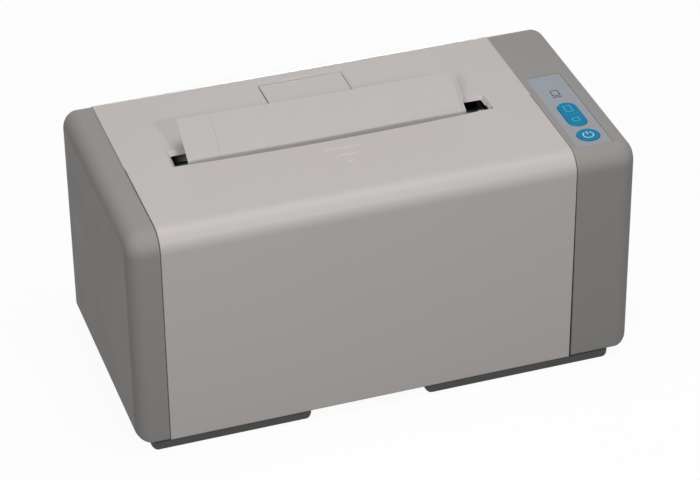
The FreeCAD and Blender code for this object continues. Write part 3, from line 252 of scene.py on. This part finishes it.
def board_green():
    """Solder mask over copper lines."""
    made = Finish("board_green", 0.35, coat_weight=0.4)
    lines = (made.noise(260, 0, stretch=(1.0, 1.0, 0.12)).above(0.54)) * 0.5 + made.noise(90, 2) * 0.3
    made.feed("Base Color", made.blend(lines, (0.012, 0.09, 0.038, 1), (0.03, 0.20, 0.075, 1)))
    made.bump(lines, 0.00003, 0.5)
    return made.material


def wipe_paper():
    """Nonwoven wipe: crossed fibres with thin and thick places."""
    made = Finish("wipe_paper", 0.9, specular_ior_level=0.15, sheen_weight=0.15)
    along = made.noise(1800, 3, stretch=(0.22, 1.0, 1.0))
    across = made.noise(1500, 3, stretch=(1.0, 0.25, 0.25))
    clouds = made.noise(160, 3)
    share = along * 0.3 + across * 0.3 + clouds * 0.4
    made.feed("Base Color", made.blend(share, (0.470, 0.447, 0.442, 1), (0.540, 0.514, 0.508, 1)))
    made.bump(along * 0.5 + across * 0.5, 0.00012, 0.5)
    return made.material


def core_card():
    made = Finish("core_card", 0.8, specular_ior_level=0.2)
    made.feed("Base Color", made.blend(made.noise(400, 4), (0.30, 0.20, 0.11, 1), (0.42, 0.30, 0.18, 1)))
    made.bump(made.noise(900, 3), 0.0001, 0.4)
    return made.material


def lamp_clear():
    made = Finish("lamp_clear", 0.15, transmission_weight=0.7)
    made.feed("Base Color", made.blend(made.noise(200, 1), (0.78, 0.82, 0.84, 1), (0.84, 0.87, 0.88, 1)))
    return made.material


FINISHES = {make.__name__: make() for make in (
    white_plastic, grey_plastic, dark_plastic, frame_plastic, gear_white, tank_plastic, panel_film, key_blue,
    black_rubber, clear_hose, steel, motor_can, brass_gear, board_green, wipe_paper, core_card, lamp_clear)}
FINISHES["pale_print"] = printed("pale_print", (0.42, 0.54, 0.61))
FINISHES["teal_print"] = printed("teal_print", (0.06, 0.36, 0.52))
FINISHES["dark_print"] = printed("dark_print", (0.045, 0.048, 0.055))


def dress(piece, finish):
    piece.data.materials.clear()
    piece.data.materials.append(FINISHES[finish])


for node_name, node in NODES.items():
    dress(node, SLOTS[node_name])


# Meshes
def mesh_piece(name, mesh_maker, finish, body):
    """Make a piece from a bmesh that mesh_maker fills, and let it ride on a body."""
    work = bmesh.new()
    mesh_maker(work)
    bmesh.ops.recalc_face_normals(work, faces=work.faces)
    data = bpy.data.meshes.new(name)
    work.to_mesh(data)
    work.free()
    piece = bpy.data.objects.new(name, data)
    bpy.context.scene.collection.objects.link(piece)
    data.materials.append(FINISHES[finish])
    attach(piece, body)
    return piece


def grid_into(work, rows):
    """A sheet of quads through rows of points."""
    made = [[work.verts.new(point) for point in row] for row in rows]
    for low, high in zip(made, made[1:]):
        for index in range(len(low) - 1):
            work.faces.new((low[index], low[index + 1], high[index + 1], high[index]))
    return made


def smooth(piece):
    for face in piece.data.polygons:
        face.use_smooth = True


def thicken(piece, thickness):
    """Give a sheet its thickness, and keep its faces' shading flat up to the narrow rim."""
    rind = piece.modifiers.new("rind", "SOLIDIFY")
    rind.thickness = thickness
    rind.offset = 0
    shading = piece.modifiers.new("flat_rim", "WEIGHTED_NORMAL")
    shading.mode = "FACE_AREA"
    shading.weight = 100


# The wipe that stands in the slot: two plies with a sharp fold just over the case
guide_low, guide_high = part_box("exit_guide")
sheet_low, sheet_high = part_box("wipe_sheet")
WIPE_Y = (guide_low.y + guide_high.y) / 2
CASE_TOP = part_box("rear_panel")[1].z
SHEET_LEFT, SHEET_RIGHT = sheet_low.x, sheet_high.x
FOLD_RADIUS = 1.2 * MM
FOLD_LIFT, FOLD_SWELL = 0.7 * MM, 0.4 * MM
FOLD_CREST, FOLD_PITCH = 0.1, 0.75
LEFT_LEAN, LEAN_FALL = 55.1, 2.8
LEFT_STAND, STAND_FALL = 29.75 * MM, 1.55 * MM
WAVE_DEPTH, WAVE_OVER = 0.3 * MM, 30 * MM
SLOW_WAVE, QUICK_WAVE = 9.0, 23.0
STEPPED_LENGTH_EXTRA, FOLD_ZONE = 18 * MM, 5 * MM
LEFT_PLY_GAP, RIGHT_PLY_GAP = 0.2 * MM, 0.5 * MM
PLY_OPENING, PARTED_OVER = 6.5, 4 * MM
PLY_THICKNESS = 0.18 * MM
FRONT_PLY_LEFT_INSET, FRONT_PLY_RIGHT_INSET, FRONT_PLY_SHORT = 22 * MM, 2.8 * MM, 1.0 * MM


def fold_height(across):
    """How high the fold lies; it rises and falls a little along the slot."""
    return CASE_TOP + FOLD_LIFT + FOLD_SWELL * math.cos(math.tau * (across - FOLD_CREST) / FOLD_PITCH)


def wipe_point(across, along, ply, short):
    """A point of one ply: across and along run from 0 to 1; the upper edge leans more at the left."""
    lean = math.radians(LEFT_LEAN - LEAN_FALL * across)
    upright = fold_height(across) - sheet_low.z
    arc = FOLD_RADIUS * lean
    run = along * (upright + arc + LEFT_STAND - STAND_FALL * across - short)
    turn = min(max(0.0, run - upright) / FOLD_RADIUS, lean)
    rest = max(0.0, run - upright - arc)
    y = WIPE_Y + FOLD_RADIUS * (1 - math.cos(turn)) + rest * math.sin(lean)
    z = sheet_low.z + min(run, upright) + FOLD_RADIUS * math.sin(turn) + rest * math.cos(lean)
    lift = rest / WAVE_OVER
    wave = WAVE_DEPTH * lift * (math.sin(across * SLOW_WAVE + 1.0) + 0.5 * math.sin(across * QUICK_WAVE))
    parted = 1 + PLY_OPENING * min(1.0, rest / PARTED_OVER)
    gap = LEFT_PLY_GAP + (RIGHT_PLY_GAP - LEFT_PLY_GAP) * across * across * parted
    away = ply * gap + wave
    return y + away * math.cos(turn), z - away * math.sin(turn)


def ply_steps(coarse=12, fold=10):
    """Places along a ply, close together round its fold."""
    total = sheet_high.z - sheet_low.z + STEPPED_LENGTH_EXTRA
    start = (CASE_TOP - sheet_low.z) / total
    end = start + FOLD_ZONE / total
    low = [start * step / coarse for step in range(coarse)]
    middle = [start + (end - start) * step / fold for step in range(fold)]
    high = [end + (1 - end) * step / (coarse * 2) for step in range(coarse * 2 + 1)]
    return low + middle + high


def ply_rows(left, right, ply, short, columns=96):
    rows = []
    for along in ply_steps():
        row = []
        for column in range(columns + 1):
            x = left + (right - left) * column / columns
            y, z = wipe_point((x - SHEET_LEFT) / (SHEET_RIGHT - SHEET_LEFT), along, ply, short)
            row.append((x, y, z))
        rows.append(row)
    return rows


def wipe_ply(name, left, right, ply, short):
    rows = ply_rows(left, right, ply, short)
    piece = mesh_piece(name, lambda work: grid_into(work, rows), "wipe_paper", "chassis")
    smooth(piece)
    thicken(piece, PLY_THICKNESS)
    return piece


wipe_ply("wipe_front_ply", SHEET_LEFT + FRONT_PLY_LEFT_INSET, SHEET_RIGHT - FRONT_PLY_RIGHT_INSET, -0.5,
         FRONT_PLY_SHORT)
back_ply = wipe_ply("wipe_back_ply", SHEET_LEFT, SHEET_RIGHT, 0.5, 0.0)
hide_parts("wipe_sheet")


# The web of wipes from the roll to the cutter
roll_low, roll_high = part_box("wipe_roll")
ROLL_Y, ROLL_Z = (roll_low.y + roll_high.y) / 2, (roll_low.z + roll_high.z) / 2
ROLL_RADIUS = (roll_high.z - roll_low.z) / 2
bar_low, bar_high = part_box("web_guide_bar")
BAR_Y, BAR_Z = (bar_low.y + bar_high.y) / 2, (bar_low.z + bar_high.z) / 2
BAR_RADIUS = (bar_high.z - bar_low.z) / 2
web_low, web_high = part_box("wipe_web")
WEB_GAP = 0.5 * MM
WEB_THICKNESS = 0.25 * MM


def web_path(lower=16, round_bar=8, upper=12):
    """From the roll's rear, round the front of the guide bar and straight up to the cutter."""
    near_radius, far_radius = ROLL_RADIUS + WEB_GAP, BAR_RADIUS + WEB_GAP
    start, end = Vector((ROLL_Y, ROLL_Z)), Vector((BAR_Y, BAR_Z))
    gap = (end - start).length
    ahead = (end - start) / gap
    turn = math.asin((near_radius + far_radius) / gap)
    normal = Vector((math.cos(turn) * ahead.y + math.sin(turn) * ahead.x,
                     -math.cos(turn) * ahead.x + math.sin(turn) * ahead.y))
    leave = start + normal * near_radius
    meet = end - normal * far_radius
    first = math.atan2(meet.y - end.y, meet.x - end.x) % math.tau
    points = [leave + (meet - leave) * step / lower for step in range(lower + 1)]
    for step in range(1, round_bar + 1):
        angle = first + (math.pi - first) * step / round_bar
        points.append(end + Vector((math.cos(angle), math.sin(angle))) * far_radius)
    top = Vector((points[-1].x, web_high.z))
    low = points[-1]
    points += [low + (top - low) * step / upper for step in range(1, upper + 1)]
    return points


def web_rows(columns=24):
    rows = []
    for y, z in web_path():
        rows.append([(web_low.x + (web_high.x - web_low.x) * column / columns, y, z)
                     for column in range(columns + 1)])
    return rows


web_grid = web_rows()
web = mesh_piece("dry_web", lambda work: grid_into(work, web_grid), "wipe_paper", "chassis")
smooth(web)
thicken(web, WEB_THICKNESS)
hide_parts("wipe_web")


# The roll of wipes
def turned_into(work, profile, centre, sides=120):
    """A closed ring turned about X: profile points are (place along X, radius)."""
    rings = []
    for x, radius in profile:
        rings.append([work.verts.new((x, centre[0] + radius * math.cos(math.tau * side / sides),
                                      centre[1] + radius * math.sin(math.tau * side / sides)))
                      for side in range(sides)])
    for ring, after in zip(rings, rings[1:] + rings[:1]):
        for side in range(sides):
            following = (side + 1) % sides
            work.faces.new((ring[side], ring[following], after[following], after[side]))


core_low, core_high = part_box("roll_core")
CORE_CLEARANCE = 0.05 * MM
CORE_RADIUS = (core_high.z - core_low.z) / 2 + CORE_CLEARANCE
ROLL_EDGE = 0.4 * MM
TURN_INSET, TURN_UNEVEN, GROOVE_INSET = 0.12, 0.1, 0.3
TURN_START, TURN_END, GROOVE_SPOT = 0.06, 0.86, 0.93


def roll_profile(turns=26):
    """Ends with the rings of the wound layers, which stand out unevenly by tenths of a millimetre."""
    step = (ROLL_RADIUS - CORE_RADIUS) / turns
    end = []
    for turn in range(turns):
        inset = (TURN_INSET + TURN_UNEVEN * math.sin(turn * 2.4)) * MM
        radius = CORE_RADIUS + turn * step
        end += [(inset, radius + step * TURN_START), (inset, radius + step * TURN_END),
                (GROOVE_INSET * MM, radius + step * GROOVE_SPOT)]
    left_end = [(roll_low.x + inset, radius) for inset, radius in end]
    right_end = [(roll_high.x - inset, radius) for inset, radius in reversed(end)]
    outside = [(roll_low.x + ROLL_EDGE, ROLL_RADIUS), (roll_high.x - ROLL_EDGE, ROLL_RADIUS)]
    inside = [(roll_high.x - ROLL_EDGE, CORE_RADIUS), (roll_low.x + ROLL_EDGE, CORE_RADIUS)]
    return left_end + outside + right_end + inside


roll = mesh_piece("wound_wipes", lambda work: turned_into(work, roll_profile(), (ROLL_Y, ROLL_Z)),
                  "wipe_paper", "roll")
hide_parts("wipe_roll")


# Prints on the keys and the film
def flat_into(work, outline, z, height=0.05 * MM):
    """A thin print with a closed outline, standing on z."""
    base = [work.verts.new((x, y, z)) for x, y in outline]
    top = [work.verts.new((x, y, z + height)) for x, y in outline]
    work.faces.new(base)
    work.faces.new(top)
    for index in range(len(outline)):
        following = (index + 1) % len(outline)
        work.faces.new((base[index], base[following], top[following], top[index]))


def ring_part(centre, inner, outer, start, end, steps=48):
    """The outline of part of a ring, between two angles in degrees."""
    angles = [math.radians(start + (end - start) * step / steps) for step in range(steps + 1)]
    outside = [(centre[0] + outer * math.cos(a), centre[1] + outer * math.sin(a)) for a in angles]
    inside = [(centre[0] + inner * math.cos(a), centre[1] + inner * math.sin(a)) for a in reversed(angles)]
    return outside + inside


def bar(low, high):
    """The outline of a bar between two corners."""
    return [(low[0], low[1]), (high[0], low[1]), (high[0], high[1]), (low[0], high[1])]


def rim(low, high, line):
    """Four bars that frame a rectangle."""
    return [bar(low, (high[0], low[1] + line)), bar((low[0], high[1] - line), high),
            bar((low[0], low[1] + line), (low[0] + line, high[1] - line)),
            bar((high[0] - line, low[1] + line), (high[0], high[1] - line))]


def prints(name, outlines, z, finish, body):
    def fill(work):
        for outline in outlines:
            flat_into(work, outline, z)
    return mesh_piece(name, fill, finish, body)


power_low, power_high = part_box("power_key")
long_low, long_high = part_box("length_key")
film_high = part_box("control_panel")[1]
POWER = ((power_low.x + power_high.x) / 2, (power_low.y + power_high.y) / 2)
LONG = ((long_low.x + long_high.x) / 2, (long_low.y + long_high.y) / 2)
PRINT_LIFT = 0.005 * MM
key_top = power_high.z + PRINT_LIFT
power_line = 0.45 * MM
power_bar = bar((POWER[0] - power_line, POWER[1] + 0.6 * MM), (POWER[0] + power_line, POWER[1] + 4.5 * MM))
power_sign = [ring_part(POWER, 2.95 * MM, 3.85 * MM, 118, 422), power_bar]
prints("power_sign", power_sign, key_top, "pale_print", "power_key_body")

half_sheet = 2.6 * MM
sheet_line = 0.65 * MM
dash_length, half_dash = 1.2, 0.2 * MM
length_signs = []
for sign_start, sign_end in ((3.2 * MM, 11.2 * MM), (-9.2 * MM, -4.6 * MM)):
    length_signs += rim((LONG[0] - half_sheet, LONG[1] + sign_start),
                        (LONG[0] + half_sheet, LONG[1] + sign_end), sheet_line)
for offset in (-4.2, -1.8, 0.6, 3.0):
    length_signs.append(bar((LONG[0] + offset * MM, LONG[1] - half_dash),
                            (LONG[0] + (offset + dash_length) * MM, LONG[1] + half_dash)))
prints("length_signs", length_signs, key_top, "teal_print", "length_key_body")

SIGN = (LONG[0] - 0.4 * MM, film_high.y - 23.4 * MM)
SIGN_LINE, SIGN_ROUND = 0.75 * MM, 1.6 * MM
film_top = film_high.z + PRINT_LIFT
sign_half, sign_front, sign_rear = 2.9 * MM, SIGN[1] - 3.4 * MM, SIGN[1] + 4.0 * MM
foot_half, foot_front, foot_rear = 3.3 * MM, sign_front - 1.9 * MM, sign_front - 1.1 * MM
sign_bars = [bar((SIGN[0] - foot_half, foot_front), (SIGN[0] + foot_half, foot_rear)),
             bar((SIGN[0] - sign_half, sign_front), (SIGN[0] + sign_half, sign_front + SIGN_LINE)),
             bar((SIGN[0] - sign_half + SIGN_ROUND, sign_rear - SIGN_LINE),
                 (SIGN[0] + sign_half - SIGN_ROUND, sign_rear))]
for side, start in ((-1, 90), (1, 0)):
    edges = sorted((SIGN[0] + side * sign_half, SIGN[0] + side * (sign_half - SIGN_LINE)))
    sign_bars.append(bar((edges[0], sign_front + SIGN_LINE), (edges[1], sign_rear - SIGN_ROUND)))
    sign_bars.append(ring_part((SIGN[0] + side * (sign_half - SIGN_ROUND), sign_rear - SIGN_ROUND),
                               SIGN_ROUND - SIGN_LINE, SIGN_ROUND, start, start + 90, 12))
prints("wipe_sign", sign_bars, film_top, "dark_print", "chassis")


# The camera at the photograph's place
CAMERA_SPOT = Vector((-0.5040, -1.5340, 1.1435))
CAMERA_BACK = Vector((-0.2613, -0.7923, 0.5513)).normalized()
CAMERA_UP = Vector((0.1842, 0.5198, 0.8342))
SENSOR_WIDTH, LENS_LENGTH = 36, 149.57
camera = bpy.data.objects.new("camera", bpy.data.cameras.new("camera"))
camera_right = CAMERA_UP.cross(CAMERA_BACK).normalized()
camera_up = CAMERA_BACK.cross(camera_right)
camera.matrix_world = Matrix.Translation(CAMERA_SPOT) @ Matrix(
    (camera_right, camera_up, CAMERA_BACK)).transposed().to_4x4()
camera.data.sensor_width = SENSOR_WIDTH
camera.data.lens = LENS_LENGTH
camera.data.clip_end = 50
bpy.context.scene.collection.objects.link(camera)
bpy.context.scene.camera = camera


# Floor, light and background
FLOOR_BOUNCE, FLOOR_SEEN, FLOOR_GLOW = 0.25, 0.95, 0.94
AMBIENT = 0.15


def seen_straight(signal):
    """1 for what the camera, a mirror or a clear piece sees, else 0."""
    path = signal.tree.nodes.new("ShaderNodeLightPath")
    ways = [Signal(signal.tree, path.outputs[name])
            for name in ("Is Camera Ray", "Is Glossy Ray", "Is Transmission Ray")]
    return (ways[0] + ways[1] + ways[2]).clear(0.0, 1.0)


def make_floor(radius=9.0, sides=64):
    data = bpy.data.meshes.new("floor")
    work = bmesh.new()
    work.faces.new([work.verts.new((radius * math.cos(math.tau * side / sides),
                                    radius * math.sin(math.tau * side / sides), 0)) for side in range(sides)])
    work.to_mesh(data)
    work.free()
    floor = bpy.data.objects.new("floor", data)
    bpy.context.scene.collection.objects.link(floor)
    paint = bpy.data.materials.new("floor")
    paint.use_nodes = True
    tree = paint.node_tree
    tree.nodes.remove(tree.nodes["Principled BSDF"])
    start = Signal(tree)
    seen = seen_straight(start)
    shade = start.node("ShaderNodeMix", {"data_type": "RGBA"},
                       {0: seen, 6: (FLOOR_BOUNCE,) * 3 + (1,), 7: (FLOOR_SEEN,) * 3 + (1,)}, out=2)
    dull = start.node("ShaderNodeBsdfDiffuse", None, {"Color": shade})
    bright = start.node("ShaderNodeEmission", None, {"Color": (1, 1, 1, 1), "Strength": 1.0})
    mixed = start.node("ShaderNodeMixShader", None, {0: seen * FLOOR_GLOW, 1: dull, 2: bright})
    tree.links.new(mixed.socket, tree.nodes["Material Output"].inputs["Surface"])
    data.materials.append(paint)


def make_world(ambient):
    world = bpy.data.worlds.new("studio")
    bpy.context.scene.world = world
    world.use_nodes = True
    tree = world.node_tree
    sky = tree.nodes["Background"]
    strength = seen_straight(Signal(tree)) * (1.0 - ambient) + ambient
    tree.links.new(strength.socket, sky.inputs["Strength"])
    sky.inputs["Color"].default_value = (1.0, 1.0, 1.0, 1)


def lamp(name, direction, distance, size, level):
    """A square lamp that aims at the case and would light a facing surface to that level."""
    data = bpy.data.lights.new(name, "AREA")
    data.size = size
    away = Vector(direction).normalized()
    data.energy = level * math.pi ** 2 * distance ** 2
    piece = bpy.data.objects.new(name, data)
    piece.location = Vector((0, 0, CASE_TOP)) + away * distance
    piece.rotation_euler = away.to_track_quat("Z", "Y").to_euler()
    bpy.context.scene.collection.objects.link(piece)


make_floor()
make_world(AMBIENT)
lamp("front_box", (0.17, -0.853, 0.495), distance=1.6, size=0.12, level=0.205)
lamp("left_box", (-0.44, -0.69, 0.575), distance=1.4, size=0.3, level=0.31)
lamp("over_box", (0.15, -0.05, 1.0), distance=1.6, size=1.1, level=0.545)
lamp("rear_box", (0.25, 0.93, 0.0), distance=1.6, size=0.3, level=0.3)
bpy.context.scene.view_settings.view_transform = "Standard"
